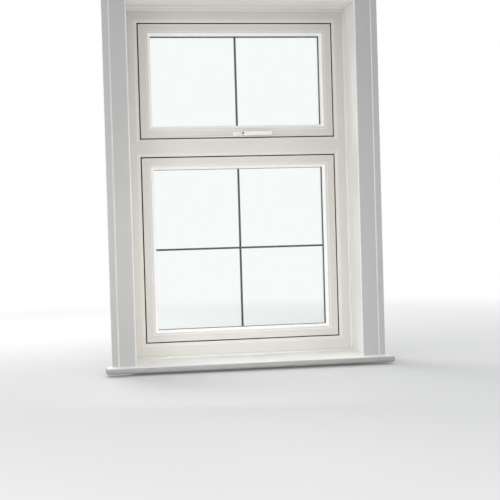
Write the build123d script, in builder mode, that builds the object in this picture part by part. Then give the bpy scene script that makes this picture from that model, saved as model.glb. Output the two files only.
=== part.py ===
from build123d import *
import os
from collections import namedtuple
from math import acos, cos, pi, radians, sin, tan

# Everything is in millimetres. X runs to the right as seen from the room, Y runs outdoors, Z is up.
# The origin is on the underside of the outside cill, midway across and midway through the frame.

# Outer frame: one upright rectangle with a transom between the two lights
frame_width = 977
frame_depth = 70
frame_face = 70
transom_face = 74
lower_height = 789
upper_height = 491
upstand_height = 22
upstand_depth = 20
lip_width = 14
lip_drop = 4
frame_wall = 3

# Sash section, the same in both lights
sash_gap = 5
sash_set_back = 2
seal_space = 6
stack_height = 14
outer_lip_gap = 4
outer_lip_thickness = 8
sash_shoulder = 30
sash_sight = 49.5
sash_wall = 2.8
outer_slope_width = 7
outer_slope_drop = 8
sash_edge_radius = 1.2

# Groove round the sash's edge for its hardware: a shallow one and a narrow one at its bottom
groove_width = 16
groove_depth = 2.5
inner_groove_width = 12
inner_groove_depth = 6

# Sealed double glazing
pane_thickness = 4
cavity = 20
glass_edge_cover = 14
glass_depth = 24
glazing_seal = 2
spacer_cover = 1
spacer_set_in = 1
glazing_bar_width = 8
glazing_bar_thickness = 8
packer_length = 100
packer_corner_distance = 90

# Glazing beads
bead_set_back = 3
bead_slope_width = 10.5
bead_slope_drop = 11.5
clip_depth = 2.7
clip_thickness = 2.8
clip_place = 8
clip_clearance = 0.2

# Gaskets between the frame and the sashes
gasket_width = 9
gasket_lip = 1.2
gasket_lip_length = 8
gasket_clearance = 0.5
sash_gasket_thickness = 2
sash_gasket_edge = 0.5

# Blocks that hold the lower sash in its rebate
block_length = 60
block_width = 24
block_corner_distance = 140

# Fixing holes through the jambs
fixing_radius = 4
fixing_set_in = 10
fixing_corner_distance = 150
fixing_transom_distance = 150
fixing_room = 1

# Outside cill
cill_height = 30
cill_projection = 80
cill_nose_height = 18
cill_top_step = 2
cill_wall = 3
cill_nose_radius = 4
cill_cap_thickness = 3
drain_slot_length = 30
drain_slot_width = 5
drain_slot_place = 300
drain_slot_rise = 20

# Window board
board_rise = 5.5
board_thickness = 25
board_projection = 75
board_horn = 24.5
board_nose_radius = 11
board_corner_radius = 10

# Linings of the reveal
reveal_depth = 190
lining_thickness = 18
lining_cover = 14
trim_size = 10

# Architraves
architrave_width = 99
architrave_thickness = 20
architrave_overhang = 8
architrave_edge_radius = 6
architrave_bead_place = 71
architrave_bead_radius = 3
architrave_bead_sink = 1
architrave_outer_step = 2.5
architrave_outer_drop = 4
architrave_outer_radius = 3
architrave_relief_depth = 2
architrave_relief_past_lining = 6

# Friction stays in the side rebates of the fanlight
stay_link_length = 150
stay_top_pin_rise = 12
stay_bar_width = 14
link_thickness = 2.2
arm_thickness = 2.5
arm_tail = 60
arm_screw_above = 30
arm_screw_below = 22
arm_end_margin = 12
track_width = 18
track_plate = 1.4
track_rail_height = 1.2
track_rail_width = 2.5
track_end = 20
track_head = 9
shoe_thickness = 2
shoe_side_clearance = 0.2
stay_clearance = 0.2
pivot_radius = 2.5
pivot_head_radius = 4.5
pivot_head_thickness = 1.1
pivot_fit = 0.05

# Handle
handle_offset = 16
spindle_rise = 13
handle_base_length = 84
handle_base_width = 20
handle_base_thickness = 9
handle_base_radius = 3
handle_screw_spacing = 43
handle_screw_head = 2
spindle_size = 7
spindle_hole_radius = 6
lever_length = 125
lever_boss_radius = 9.5
lever_standoff = 36
lever_grip_thickness = 9
lever_grip_width = 18
lever_neck_radius = 12
lever_tip_radius = 5
lever_clearance = 0.2
lever_edge_radius = 3.5
lever_underside_radius = 2
lock_radius = 4
lock_fit = 0.1
lock_length = 14
lock_travel = 3
lock_stand_out = 3.5
lock_spring_room = 4.5
spindle_stop = 1
key_slot_width = 1.6
key_slot_length = 5.5
key_slot_depth = 5

# Espagnolette lock in the fanlight's bottom rail
gear_module = 1.5
gear_teeth = 16
gear_addendum = 1.2
gear_dedendum = 1.6
gear_backlash = 0.25
gear_tip_room = 0.2
gear_thickness = 7
pressure_angle = radians(20)
rack_reach_left = 26
rack_reach_right = 8
rod_width = 11
rod_thickness = 2.3
rod_half_length = 285
faceplate_half_length = 325
faceplate_clearance = 0.1
faceplate_screw_margin = 7
case_half_length = 34
case_thickness = 11.6
case_wall = 1.4
cam_place = 250
cam_stem_radius = 2.5
cam_head_radius = 4
cam_head_thickness = 3
cam_reach = 8
cam_slot_clearance = 0.4
keep_length = 50
keep_plate = 2
keep_wall = 3
keep_clearance = 0.5
keep_screw_margin = 2
keep_wall_overlap = 2

# Screws
screw_radius = 2
screw_head_radius = 3.6
screw_length = 14

Light = namedtuple("Light", "half_width bottom top")

# Places worked out from the sizes above
room_face = -frame_depth / 2
outer_face = frame_depth / 2
half_width = frame_width / 2 - frame_face
frame_bottom = cill_height
lower_light = Light(half_width, frame_bottom + frame_face, frame_bottom + frame_face + lower_height)
upper_light = Light(half_width, lower_light.top + transom_face, lower_light.top + transom_face + upper_height)
both_lights = Light(half_width, lower_light.bottom, upper_light.top)
frame_top = upper_light.top + frame_face
board_top = frame_bottom + board_rise
wall_face = room_face - reveal_depth
lining_face = frame_width / 2 - lining_cover
soffit = frame_top - lining_cover
reveal = Light(lining_face, board_top, soffit)
architrave_edge = lining_face - architrave_overhang
architrave_foot = board_top
architrave_underside = soffit - architrave_overhang

# Insets are measured from the edge of the frame's upstand towards the middle of the light
rebate = -upstand_height
sash_edge = rebate + stack_height
outer_lip = rebate + outer_lip_gap
bead_seat = sash_gap + sash_shoulder
sight = sash_gap + sash_sight
glass_edge = sight - glass_edge_cover
groove_floor = sash_edge + groove_depth
inner_groove_floor = groove_floor + inner_groove_depth

# Depths are measured from the frame's room face outwards
flange_face = upstand_depth + seal_space
outer_lip_face = frame_depth - outer_lip_thickness
inner_pane_face = glass_depth
cavity_face = inner_pane_face + pane_thickness
outer_pane_face = cavity_face + cavity
glass_back = outer_pane_face + pane_thickness
leg_face = glass_back + glazing_seal
groove_middle = (flange_face + outer_lip_face) / 2
stay_depth = groove_middle
fixing_depth = frame_depth - fixing_set_in


def at_depth(depth):
    """The upright plane this far behind the frame's room face."""
    return Plane.XZ.offset(-(room_face + depth))


def middle(light):
    return (light.bottom + light.top) / 2


def block(left, right, near, far, low, high):
    """A box between two places across, two depths and two heights."""
    with BuildPart() as made:
        with BuildSketch(at_depth(near)):
            with Locations(((left + right) / 2, (low + high) / 2)):
                Rectangle(right - left, high - low)
        extrude(amount=near - far)
    return made.part


def plate(light, inset, near, far):
    """A plate that fills a light up to an inset, between two depths."""
    reach = light.half_width - inset
    return block(-reach, reach, near, far, light.bottom + inset, light.top - inset)


def upright_disc(across, height, radius, near, far):
    """A round bar that runs from one depth to another."""
    with BuildPart() as made:
        with BuildSketch(at_depth(near)):
            with Locations((across, height)):
                Circle(radius)
        extrude(amount=near - far)
    return made.part


def jamb_disc(outer, inner, depth, height, radius):
    """A round bar across the right-hand rebate, from an outer inset to an inner one."""
    with BuildPart() as made:
        with BuildSketch(Plane.YZ.offset(half_width - inner)):
            with Locations((room_face + depth, height)):
                Circle(radius)
        extrude(amount=inner - outer)
    return made.part


def rail_disc(light, lower, upper, across, depth, radius):
    """A round bar up through a light's bottom rail, from a lower inset to an upper one."""
    with BuildPart() as made:
        with BuildSketch(Plane.XY.offset(light.bottom + lower)):
            with Locations((across, room_face + depth)):
                Circle(radius)
        extrude(amount=upper - lower)
    return made.part


def ring(section, light):
    """A section swept round a light with mitred corners. Its X is the inset and its Y the depth."""
    start = Plane(origin=(0, room_face, light.bottom), x_dir=(0, 0, 1), z_dir=(-1, 0, 0))
    left, right = -light.half_width, light.half_width
    with BuildPart() as swept:
        with BuildLine() as route:
            Polyline(
                (0, room_face, light.bottom),
                (left, room_face, light.bottom),
                (left, room_face, light.top),
                (right, room_face, light.top),
                (right, room_face, light.bottom),
                close=True,
            )
        with BuildSketch(start):
            add(section)
        sweep(path=route.wires()[0], transition=Transition.RIGHT)
    return swept.part


def mitre_wedge(light, side, inward):
    """The four corners of the space that one side of a ring fills between its mitres."""
    corners = {
        "bottom_left": (-1, -1),
        "bottom_right": (1, -1),
        "top_right": (1, 1),
        "top_left": (-1, 1),
    }
    ends = {
        "bottom": ("bottom_left", "bottom_right"),
        "right": ("bottom_right", "top_right"),
        "top": ("top_right", "top_left"),
        "left": ("top_left", "bottom_left"),
    }[side]

    def corner(name, reach):
        across, up = corners[name]
        half_height = (light.top - light.bottom) / 2
        return across * (light.half_width + reach), middle(light) + up * (half_height + reach)

    return [
        corner(ends[0], 0),
        corner(ends[1], 0),
        corner(ends[1], -inward),
        corner(ends[0], -inward),
    ]


def section_of(points, rounded=(), radius=1.0, holes=()):
    """A closed outline with some corners rounded and rectangular chambers left out."""
    with BuildSketch() as outline:
        with BuildLine():
            Polyline(*points, close=True)
        make_face()
        if rounded:
            corners = [outline.vertices().sort_by_distance(place)[0] for place in rounded]
            fillet(corners, radius)
        for low_x, low_y, high_x, high_y in holes:
            with Locations(((low_x + high_x) / 2, (low_y + high_y) / 2)):
                Rectangle(high_x - low_x, high_y - low_y, mode=Mode.SUBTRACT)
    return outline.sketch


def aperture(light):
    """The stepped opening for one sash: a sloped lip, the upstand's edge and the rebate behind it."""
    with BuildPart() as opening:
        with BuildSketch(at_depth(0)):
            with Locations((0, middle(light))):
                Rectangle(2 * (light.half_width + lip_width), light.top - light.bottom + 2 * lip_width)
        with BuildSketch(at_depth(lip_drop)):
            with Locations((0, middle(light))):
                Rectangle(2 * light.half_width, light.top - light.bottom)
        loft()
        add(plate(light, 0, lip_drop, upstand_depth))
        add(plate(light, rebate, upstand_depth, frame_depth))
    return opening.part


def sash_section():
    """The sash's profile, with its hardware groove, bead groove and three chambers."""
    outer = groove_width / 2
    inner = inner_groove_width / 2
    leg_slope = frame_depth - outer_slope_drop
    points = [
        (sash_gap, sash_set_back),
        (bead_seat, sash_set_back),
        (bead_seat, clip_place - clip_clearance),
        (bead_seat - clip_depth - clip_clearance, clip_place - clip_clearance),
        (bead_seat - clip_depth - clip_clearance, clip_place + clip_thickness + clip_clearance),
        (bead_seat, clip_place + clip_thickness + clip_clearance),
        (bead_seat, leg_face),
        (sight, leg_face),
        (sight, leg_slope),
        (sight - outer_slope_width, frame_depth),
        (outer_lip, frame_depth),
        (outer_lip, outer_lip_face),
        (sash_edge, outer_lip_face),
        (sash_edge, groove_middle + outer),
        (groove_floor, groove_middle + outer),
        (groove_floor, groove_middle + inner),
        (inner_groove_floor, groove_middle + inner),
        (inner_groove_floor, groove_middle - inner),
        (groove_floor, groove_middle - inner),
        (groove_floor, groove_middle - outer),
        (sash_edge, groove_middle - outer),
        (sash_edge, flange_face),
        (sash_gap, flange_face),
    ]
    rounded = [(sash_gap, sash_set_back), (bead_seat, sash_set_back), (outer_lip, frame_depth)]
    inner_limit = bead_seat - clip_depth - clip_clearance - sash_wall
    room_chamber = (sash_gap + sash_wall, sash_set_back + sash_wall, inner_limit, flange_face)
    main_chamber = (
        inner_groove_floor + sash_wall,
        flange_face + sash_wall,
        bead_seat - sash_wall,
        leg_face - sash_wall,
    )
    outer_chamber = (
        sash_edge + sash_wall,
        leg_face + sash_wall,
        sight - outer_slope_width - sash_wall,
        frame_depth - sash_wall,
    )
    return section_of(points, rounded, sash_edge_radius, (room_chamber, main_chamber, outer_chamber))


def bead_section():
    """The glazing bead, with a sloped front edge and the clip that holds it."""
    back = glass_depth - glazing_seal
    points = [
        (bead_seat, bead_set_back),
        (sight - bead_slope_width, bead_set_back),
        (sight, bead_set_back + bead_slope_drop),
        (sight, back),
        (bead_seat, back),
        (bead_seat, clip_place + clip_thickness),
        (bead_seat - clip_depth, clip_place + clip_thickness),
        (bead_seat - clip_depth, clip_place),
        (bead_seat, clip_place),
    ]
    rounded = [(bead_seat, bead_set_back), (sight - bead_slope_width, bead_set_back)]
    return section_of(points, rounded, sash_edge_radius)


def frame_gasket_section():
    """The gasket on the frame's upstand: a flat bulb behind it and the dark lip in the gap."""
    back = flange_face - sash_gasket_thickness - gasket_clearance
    return section_of([
        (-gasket_width, upstand_depth),
        (0, upstand_depth),
        (0, upstand_depth - gasket_lip_length),
        (gasket_lip, upstand_depth - gasket_lip_length + gasket_lip),
        (gasket_lip, back),
        (-gasket_width, back),
    ])


def sash_gasket_section():
    """The flat seal on the sash's flange, which shows dark at the bottom of the gap."""
    front = flange_face - sash_gasket_thickness
    return section_of([
        (sash_edge + sash_gasket_edge, front),
        (sash_gap, front),
        (sash_gap, flange_face),
        (sash_edge + sash_gasket_edge, flange_face),
    ])


def strip_section(inset_from, inset_to, near, far):
    return section_of([(inset_from, near), (inset_to, near), (inset_to, far), (inset_from, far)])


def side_run(section, light, side, inward):
    """One side of a ring as a straight run, cut off at its two mitres."""
    inset_way = {"bottom": (0, 0, 1), "right": (-1, 0, 0), "top": (0, 0, -1), "left": (1, 0, 0)}[side]
    half_height = (light.top - light.bottom) / 2
    start = Plane(
        origin=(-inset_way[0] * light.half_width, room_face, middle(light) - inset_way[2] * half_height),
        x_dir=inset_way,
        z_dir=Vector(inset_way).cross(Vector(0, 1, 0)),
    )
    with BuildPart() as run:
        with BuildSketch(start):
            add(section)
        extrude(amount=light.half_width + half_height, both=True)
        with BuildSketch(at_depth(-frame_depth)):
            with BuildLine():
                Polyline(*mitre_wedge(light, side, inward), close=True)
            make_face()
        extrude(amount=-2 * frame_depth, mode=Mode.INTERSECT)
    return run.part


def packers_in(light):
    """Pads between the sash and the sealed unit, near each corner."""
    near, far = cavity_face - pane_thickness, glass_back
    across = light.half_width - bead_seat - packer_corner_distance
    up = (light.top - light.bottom) / 2 - bead_seat - packer_corner_distance
    with BuildPart() as pads:
        for sign in (-1, 1):
            place = sign * (across - packer_length / 2)
            height = middle(light) + sign * (up - packer_length / 2)
            for low in (light.bottom + bead_seat, light.top - glass_edge):
                high = low + glass_edge - bead_seat
                add(block(place - packer_length / 2, place + packer_length / 2, near, far, low, high))
            for left in (-light.half_width + bead_seat, light.half_width - glass_edge):
                right = left + glass_edge - bead_seat
                add(block(left, right, near, far, height - packer_length / 2, height + packer_length / 2))
    return pads.part


def pane(light, near):
    return plate(light, glass_edge, near, near + pane_thickness)


def spacer(light):
    """The bar and sealant that close the edge of the sealed unit."""
    inner = sight - spacer_cover
    return ring(strip_section(glass_edge + spacer_set_in, inner, cavity_face, outer_pane_face), light)


def upright_bar(light):
    """The bar down the middle of the cavity, from spacer to spacer."""
    near = cavity_face + (cavity - glazing_bar_thickness) / 2
    reach = sight - spacer_cover
    half = glazing_bar_width / 2
    return block(-half, half, near, near + glazing_bar_thickness, light.bottom + reach, light.top - reach)


def level_bar(light):
    """The bar across the middle of the cavity."""
    near = cavity_face + (cavity - glazing_bar_thickness) / 2
    reach = light.half_width - sight + spacer_cover
    half = glazing_bar_width / 2
    low = middle(light) - half
    return block(-reach, reach, near, near + glazing_bar_thickness, low, low + glazing_bar_width)


# Heights and places of the moving parts
top_pin_height = upper_light.top + stay_top_pin_rise
sash_pivot_height = top_pin_height - stay_link_length
frame_pivot_height = sash_pivot_height - stay_link_length
spindle_height = upper_light.bottom + sash_gap + spindle_rise
pitch_radius = gear_module * gear_teeth / 2
rod_travel = pitch_radius * pi / 2
rail_bottom = upper_light.bottom

# Insets of the layers of a stay, from the frame's rebate to the sash's edge
plate_top = rebate + track_plate
rail_top = plate_top + track_rail_height
arm_face = sash_edge - arm_thickness
lower_head_base = rail_top + stay_clearance
link_base = lower_head_base + pivot_head_thickness + stay_clearance
link_top = link_base + link_thickness
collar_end = link_top + stay_clearance
shoe_base = plate_top + stay_clearance
shoe_top = shoe_base + shoe_thickness

# Fasteners come first, because the pieces that they pass through are cut by them
track_screw_heights = [frame_pivot_height - track_end / 2, sash_pivot_height]
arm_screw_heights = [
    sash_pivot_height + arm_screw_above,
    sash_pivot_height - arm_screw_below,
    sash_pivot_height - arm_tail + arm_end_margin,
]

keep_screw_spacing = keep_length - 2 * (screw_head_radius + keep_screw_margin)
with BuildPart() as frame_screws:
    for height in track_screw_heights:
        add(jamb_disc(rebate, plate_top, stay_depth, height, screw_head_radius))
        add(jamb_disc(rebate - screw_length, rebate, stay_depth, height, screw_radius))
    mirror(about=Plane.YZ)
    for keep in (-1, 1):
        for side in (-1, 1):
            across = keep * cam_place + side * keep_screw_spacing / 2
            add(rail_disc(upper_light, rebate, rebate + keep_plate, across, groove_middle, screw_head_radius))
            add(rail_disc(upper_light, rebate - screw_length, rebate, across, groove_middle, screw_radius))
frame_screws.part.label = "frame_screws"

faceplate_low = sash_edge
faceplate_high = groove_floor - faceplate_clearance
with BuildPart() as sash_screws:
    for height in arm_screw_heights:
        add(jamb_disc(arm_face, sash_edge, stay_depth, height, screw_head_radius))
        add(jamb_disc(sash_edge, sash_edge + screw_length, stay_depth, height, screw_radius))
    mirror(about=Plane.YZ)
    for side in (-1, 1):
        across = side * (faceplate_half_length - faceplate_screw_margin)
        add(rail_disc(upper_light, faceplate_low, faceplate_high, across, groove_middle, screw_head_radius))
        screw_end = faceplate_high + screw_length
        add(rail_disc(upper_light, faceplate_high, screw_end, across, groove_middle, screw_radius))
sash_screws.part.label = "sash_screws"

with BuildPart() as handle_screws:
    for side in (-1, 1):
        across = handle_offset + side * handle_screw_spacing / 2
        head_face = sash_set_back - handle_base_thickness / 2
        add(upright_disc(across, spindle_height, screw_head_radius, head_face - handle_screw_head, head_face))
        add(upright_disc(across, spindle_height, screw_radius, head_face, sash_set_back + screw_length))
handle_screws.part.label = "handle_screws"

# Outer frame, with its transom, chambers and fixing holes
room_chamber = strip_section(
    frame_wall - frame_face, -lip_width - frame_wall, lip_drop, upstand_depth - frame_wall
)
outer_chamber_face = fixing_depth - fixing_radius - fixing_room
main_chamber_back = outer_chamber_face - frame_wall
chamber_low, chamber_high = frame_wall - frame_face, rebate - frame_wall
main_chamber = strip_section(chamber_low, chamber_high, upstand_depth + frame_wall, main_chamber_back)
outer_chamber = strip_section(chamber_low, chamber_high, outer_chamber_face, frame_depth - frame_wall)
fixing_heights = [
    frame_bottom + fixing_corner_distance,
    (lower_light.top + upper_light.bottom) / 2 - fixing_transom_distance,
    (lower_light.top + upper_light.bottom) / 2 + fixing_transom_distance,
    frame_top - fixing_corner_distance,
]
with BuildPart() as outer_frame:
    add(block(-frame_width / 2, frame_width / 2, 0, frame_depth, frame_bottom, frame_top))
    add(aperture(lower_light), mode=Mode.SUBTRACT)
    add(aperture(upper_light), mode=Mode.SUBTRACT)
    for chamber in (room_chamber, main_chamber, outer_chamber):
        add(ring(chamber, both_lights), mode=Mode.SUBTRACT)
    web_low = lower_light.top - rebate + frame_wall
    web_high = upper_light.bottom + rebate - frame_wall
    web_reach = half_width - rebate
    for near, far in (
        (upstand_depth + frame_wall, main_chamber_back),
        (outer_chamber_face, frame_depth - frame_wall),
    ):
        add(block(-web_reach, web_reach, near, far, web_low, web_high), mode=Mode.SUBTRACT)
    face_low = lower_light.top + lip_width + frame_wall
    face_high = upper_light.bottom - lip_width - frame_wall
    face_reach = half_width + lip_width
    add(
        block(-face_reach, face_reach, lip_drop, upstand_depth - frame_wall, face_low, face_high),
        mode=Mode.SUBTRACT,
    )
    for height in fixing_heights:
        with Locations(Location((0, room_face + fixing_depth, height), (0, 90, 0))):
            Cylinder(fixing_radius, 2 * frame_width, mode=Mode.SUBTRACT)
    with BuildSketch(at_depth(frame_depth)):
        for place in (-drain_slot_place, drain_slot_place):
            with Locations((place, frame_bottom + drain_slot_rise)):
                SlotOverall(drain_slot_length, drain_slot_width)
    extrude(amount=frame_wall, mode=Mode.SUBTRACT)
    add(frame_screws.part, mode=Mode.SUBTRACT)
outer_frame.part.label = "outer_frame"

# Outside cill and its end caps
cill_outline = [
    (room_face, 0),
    (outer_face + cill_projection, 0),
    (outer_face + cill_projection, cill_nose_height),
    (outer_face, cill_height - cill_top_step),
    (outer_face, cill_height),
    (room_face, cill_height),
]
cill_chamber = [
    (room_face + cill_wall, cill_wall),
    (outer_face + cill_projection - cill_wall, cill_wall),
    (outer_face + cill_projection - cill_wall, cill_nose_height - cill_wall),
    (outer_face, cill_height - cill_top_step - cill_wall),
    (room_face + cill_wall, cill_height - cill_top_step - cill_wall),
]
cill_nose = [(outer_face + cill_projection, 0), (outer_face + cill_projection, cill_nose_height)]
cill_side = Plane.YZ.offset(-frame_width / 2)
with BuildPart() as outer_cill:
    with BuildSketch(cill_side):
        add(section_of(cill_outline, cill_nose, cill_nose_radius))
        add(section_of(cill_chamber), mode=Mode.SUBTRACT)
    extrude(amount=frame_width)
outer_cill.part.label = "outer_cill"

with BuildPart() as cill_end_caps:
    with BuildSketch(cill_side):
        add(section_of(cill_outline, cill_nose, cill_nose_radius))
    extrude(amount=-cill_cap_thickness)
    mirror(about=Plane.YZ)
cill_end_caps.part.label = "cill_end_caps"

# Sashes
case_left = handle_offset - case_half_length
case_right = handle_offset + case_half_length
case_near = groove_middle - case_thickness / 2
case_far = groove_middle + case_thickness / 2
case_low = groove_floor + rod_thickness + 2 * faceplate_clearance
case_high = sash_gap + spindle_rise + pitch_radius + gear_addendum + gear_tip_room + case_wall

with BuildPart() as fixed_sash:
    add(ring(sash_section(), lower_light))
fixed_sash.part.label = "fixed_sash"

with BuildPart() as fanlight_sash:
    add(ring(sash_section(), upper_light))
    add(
        block(
            case_left - faceplate_clearance,
            case_right + faceplate_clearance,
            groove_middle - inner_groove_width / 2,
            groove_middle + inner_groove_width / 2,
            rail_bottom + groove_floor,
            rail_bottom + case_high + faceplate_clearance,
        ),
        mode=Mode.SUBTRACT,
    )
    add(
        upright_disc(handle_offset, spindle_height, spindle_hole_radius, 0, groove_middle),
        mode=Mode.SUBTRACT,
    )
    add(handle_screws.part, mode=Mode.SUBTRACT)
    add(sash_screws.part, mode=Mode.SUBTRACT)
fanlight_sash.part.label = "fanlight_sash"

with BuildPart() as fixed_sash_blocks:
    near, far = groove_middle - block_width / 2, groove_middle + block_width / 2
    across = half_width - block_corner_distance - block_length / 2
    up = (lower_light.top - lower_light.bottom) / 2 - block_corner_distance - block_length / 2
    for sign in (-1, 1):
        left = sign * across - block_length / 2
        low = middle(lower_light) + sign * up - block_length / 2
        for base in (lower_light.bottom + rebate, lower_light.top - sash_edge):
            add(block(left, left + block_length, near, far, base, base + stack_height))
        for base in (-half_width + rebate, half_width - sash_edge):
            add(block(base, base + stack_height, near, far, low, low + block_length))
fixed_sash_blocks.part.label = "fixed_sash_blocks"

# Gaskets
with BuildPart() as lower_frame_gasket:
    add(ring(frame_gasket_section(), lower_light))
lower_frame_gasket.part.label = "lower_frame_gasket"

with BuildPart() as upper_frame_gasket:
    add(ring(frame_gasket_section(), upper_light))
upper_frame_gasket.part.label = "upper_frame_gasket"

with BuildPart() as fixed_sash_gasket:
    add(ring(sash_gasket_section(), lower_light))
fixed_sash_gasket.part.label = "fixed_sash_gasket"

with BuildPart() as fanlight_gasket:
    add(ring(sash_gasket_section(), upper_light))
fanlight_gasket.part.label = "fanlight_gasket"

# Glazing of each light: panes, spacer, bars, gaskets, packers and beads
glazing = []
for name, light in (("lower", lower_light), ("upper", upper_light)):
    with BuildPart() as inner_pane:
        add(pane(light, inner_pane_face))
    inner_pane.part.label = name + "_inner_pane"

    with BuildPart() as outer_pane:
        add(pane(light, outer_pane_face))
    outer_pane.part.label = name + "_outer_pane"

    with BuildPart() as edge_spacer:
        add(spacer(light))
    edge_spacer.part.label = name + "_spacer"

    with BuildPart() as glazing_bars:
        add(upright_bar(light))
        if light is lower_light:
            add(level_bar(light))
    glazing_bars.part.label = name + "_glazing_bars"

    with BuildPart() as room_seal:
        seal = strip_section(bead_seat + bead_slope_width, sight, glass_depth - glazing_seal, glass_depth)
        add(ring(seal, light))
    room_seal.part.label = name + "_bead_gasket"

    with BuildPart() as weather_seal:
        seal = strip_section(bead_seat + bead_slope_width, sight, glass_back, leg_face)
        add(ring(seal, light))
    weather_seal.part.label = name + "_outer_gasket"

    with BuildPart() as packers:
        add(packers_in(light))
    packers.part.label = name + "_glazing_packers"

    glazing += [inner_pane, outer_pane, edge_spacer, glazing_bars, room_seal, weather_seal, packers]
    for kind, sides in (("rail", ("bottom", "top")), ("stile", ("left", "right"))):
        with BuildPart() as beads:
            for side in sides:
                add(side_run(bead_section(), light, side, sight))
        beads.part.label = name + "_" + kind + "_beads"
        glazing.append(beads)

# Friction stay on the right; the left one is its mirror image
with BuildPart() as right_stay_track:
    low = frame_pivot_height - track_end
    high = top_pin_height + track_head
    outer_x = half_width - rebate
    edge = track_width / 2
    near, far = stay_depth - edge, stay_depth + edge
    add(block(outer_x - track_plate, outer_x, near, far, low, high))
    rail_x = outer_x - track_plate
    for rail_near in (near, far - track_rail_width):
        add(block(rail_x - track_rail_height, rail_x, rail_near, rail_near + track_rail_width, low, high))
    add(frame_screws.part, mode=Mode.SUBTRACT)
    add(jamb_disc(plate_top, link_base - stay_clearance, stay_depth, frame_pivot_height, pivot_head_radius))
    add(jamb_disc(plate_top, collar_end, stay_depth, frame_pivot_height, pivot_radius))
    add(jamb_disc(
        collar_end, collar_end + pivot_head_thickness, stay_depth, frame_pivot_height, pivot_head_radius
    ))
right_stay_track.part.label = "right_stay_track"

with BuildPart() as left_stay_track:
    mirror(right_stay_track.part, about=Plane.YZ)
left_stay_track.part.label = "left_stay_track"

with BuildPart() as right_stay_link:
    with BuildSketch(Plane.YZ.offset(half_width - link_top)):
        with Locations((room_face + stay_depth, (frame_pivot_height + sash_pivot_height) / 2)):
            SlotCenterToCenter(stay_link_length, stay_bar_width, rotation=90)
        for height in (frame_pivot_height, sash_pivot_height):
            with Locations((room_face + stay_depth, height)):
                Circle(pivot_radius + pivot_fit, mode=Mode.SUBTRACT)
    extrude(amount=link_thickness)
right_stay_link.part.label = "right_stay_link"

with BuildPart() as left_stay_link:
    mirror(right_stay_link.part, about=Plane.YZ)
left_stay_link.part.label = "left_stay_link"

with BuildPart() as right_stay_arm:
    arm_low = sash_pivot_height - arm_tail
    with BuildSketch(Plane.YZ.offset(half_width - sash_edge)):
        with Locations((room_face + stay_depth, (arm_low + top_pin_height) / 2)):
            SlotCenterToCenter(top_pin_height - arm_low, stay_bar_width, rotation=90)
    extrude(amount=arm_thickness)
    add(sash_screws.part, mode=Mode.SUBTRACT)
    add(jamb_disc(shoe_base, arm_face, stay_depth, top_pin_height, pivot_radius))
    add(jamb_disc(collar_end, arm_face, stay_depth, sash_pivot_height, pivot_head_radius))
    add(jamb_disc(lower_head_base, collar_end, stay_depth, sash_pivot_height, pivot_radius))
    lower_head_end = lower_head_base + pivot_head_thickness
    add(jamb_disc(lower_head_base, lower_head_end, stay_depth, sash_pivot_height, pivot_head_radius))
right_stay_arm.part.label = "right_stay_arm"

with BuildPart() as left_stay_arm:
    mirror(right_stay_arm.part, about=Plane.YZ)
left_stay_arm.part.label = "left_stay_arm"

with BuildPart() as stay_shoes:
    shoe_radius = track_width / 2 - track_rail_width - shoe_side_clearance
    add(jamb_disc(shoe_base, shoe_top, stay_depth, top_pin_height, shoe_radius))
    add(jamb_disc(shoe_base, shoe_top, stay_depth, top_pin_height, pivot_radius), mode=Mode.SUBTRACT)
    mirror(about=Plane.YZ)
stay_shoes.part.label = "stay_shoes"

# Espagnolette lock: faceplate, rod with rack and cams, gearbox, pinion and keeps
with BuildPart() as espag_faceplate:
    half = groove_width / 2 - faceplate_clearance
    add(block(
        -faceplate_half_length, faceplate_half_length, groove_middle - half, groove_middle + half,
        rail_bottom + faceplate_low, rail_bottom + faceplate_high,
    ))
    slot_length = rod_travel + 2 * (cam_stem_radius + cam_slot_clearance)
    with BuildSketch(Plane.XY.offset(rail_bottom + faceplate_low)):
        for place in (-cam_place, cam_place):
            with Locations((place + rod_travel / 2, room_face + groove_middle)):
                SlotOverall(slot_length, 2 * (cam_stem_radius + cam_slot_clearance))
    extrude(amount=groove_depth, mode=Mode.SUBTRACT)
    add(sash_screws.part, mode=Mode.SUBTRACT)
espag_faceplate.part.label = "espag_faceplate"

rack_pitch_height = spindle_height - pitch_radius
rod_low = rail_bottom + groove_floor
tooth_pitch = pi * gear_module
rack_tooth = [
    (-tooth_pitch / 4 - gear_dedendum * tan(pressure_angle), -gear_dedendum),
    (-tooth_pitch / 4 + gear_addendum * tan(pressure_angle), gear_addendum),
    (tooth_pitch / 4 - gear_addendum * tan(pressure_angle), gear_addendum),
    (tooth_pitch / 4 + gear_dedendum * tan(pressure_angle), -gear_dedendum),
]
rack_near = groove_middle - gear_thickness / 2
with BuildPart() as espag_rod:
    near, far = groove_middle - rod_width / 2, groove_middle + rod_width / 2
    add(block(-rod_half_length, rod_half_length, near, far, rod_low, rod_low + rod_thickness))
    rack_left = handle_offset - rack_reach_left
    rack_right = handle_offset + rack_reach_right
    with BuildSketch(at_depth(rack_near)):
        with Locations(((rack_left + rack_right) / 2, (rod_low + rack_pitch_height - gear_dedendum) / 2)):
            Rectangle(rack_right - rack_left, rack_pitch_height - gear_dedendum - rod_low)
        first = int(-(rack_reach_left - tooth_pitch) / tooth_pitch)
        last = int((rack_reach_right - tooth_pitch / 2) / tooth_pitch)
        for count in range(first, last + 1):
            with Locations((handle_offset + (count + 0.5) * tooth_pitch, rack_pitch_height)):
                Polygon(*rack_tooth, align=None)
    extrude(amount=-gear_thickness)
    for place in (-cam_place, cam_place):
        head_low = sash_edge - cam_reach
        add(rail_disc(upper_light, head_low, groove_floor, place, groove_middle, cam_stem_radius))
        add(rail_disc(
            upper_light, head_low, head_low + cam_head_thickness, place, groove_middle, cam_head_radius
        ))
espag_rod.part.label = "espag_rod"


def involute(angle):
    return tan(angle) - angle


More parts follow.
